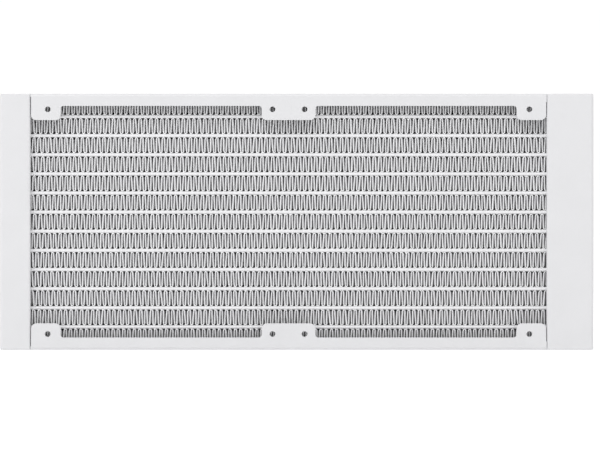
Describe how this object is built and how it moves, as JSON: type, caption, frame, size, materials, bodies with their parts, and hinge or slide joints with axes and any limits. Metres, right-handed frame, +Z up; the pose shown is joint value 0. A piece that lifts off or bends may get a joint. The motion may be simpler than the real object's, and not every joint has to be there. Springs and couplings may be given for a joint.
{
  "type": "liquid cooling radiator",
  "caption": "Slim white radiator for two computer fans: flat tubes and folded fins between a wide port tank and a narrow return tank, with screw-tab side rails and a screw-in fill plug.",
  "frame": {"origin": "centre of the underside, midway between the two fan hole patterns and at mid depth", "axes": "+X along the tubes towards the wide port tank, +Y out of the face with the ports, +Z up across the tubes; the pictured face looks along -Y"},
  "size_m": [0.2774, 0.0303, 0.1196],
  "materials": {
    "rail_coat": "satin",
    "tank_coat": "satin",
    "core_coat": "satin",
    "tube_coat": "satin",
    "fin_coat": "matte",
    "port_coat": "satin",
    "bare_aluminium": "satin",
    "plug_nickel": "gloss",
    "seal_rubber": "matte"
  },
  "bodies": {
    "radiator": {"side_rail_top": "rail_coat", "side_rail_bottom": "rail_coat", "core_plate_top": "core_coat", "core_plate_bottom": "core_coat", "port_tank_shell": "tank_coat", "port_tank_rear_plate": "tank_coat", "port_tank_cap_top": "tank_coat", "port_tank_cap_bottom": "tank_coat", "return_tank_shell": "tank_coat", "return_tank_cap_top": "tank_coat", "return_tank_cap_bottom": "tank_coat", "port_tank_header": "core_coat", "return_tank_header": "core_coat", "port_tank_baffle": "bare_aluminium", "inlet_port_boss": "port_coat", "outlet_port_boss": "port_coat", "fill_port_boss": "port_coat", "tube_01": "tube_coat", "tube_02": "tube_coat", "tube_03": "tube_coat", "tube_04": "tube_coat", "tube_05": "tube_coat", "tube_06": "tube_coat", "tube_07": "tube_coat", "tube_08": "tube_coat", "tube_09": "tube_coat", "tube_10": "tube_coat", "tube_11": "tube_coat", "tube_12": "tube_coat", "fin_01": "fin_coat", "fin_02": "fin_coat", "fin_03": "fin_coat", "fin_04": "fin_coat", "fin_05": "fin_coat", "fin_06": "fin_coat", "fin_07": "fin_coat", "fin_08": "fin_coat", "fin_09": "fin_coat", "fin_10": "fin_coat", "fin_11": "fin_coat", "fin_12": "fin_coat", "fin_13": "fin_coat"},
    "seal": {"fill_plug_seal": "seal_rubber"},
    "plug": {"fill_plug": "plug_nickel"}
  },
  "joints": [
    {"name": "fill_plug_travel", "type": "slide", "parent": "radiator", "child": "seal", "axis": [0, 1, 0], "range_m": [0, 0.00635]},
    {"name": "fill_plug_turn", "type": "hinge", "parent": "seal", "child": "plug", "pos_m": [0.1321, 0.0145, 0.1086], "axis": [0, 1, 0], "range_deg": [0, 2520]}
  ],
  "couplings": [
    {"joint": "fill_plug_travel", "follows": "fill_plug_turn", "m_per_rad": 0.00014435}
  ]
}
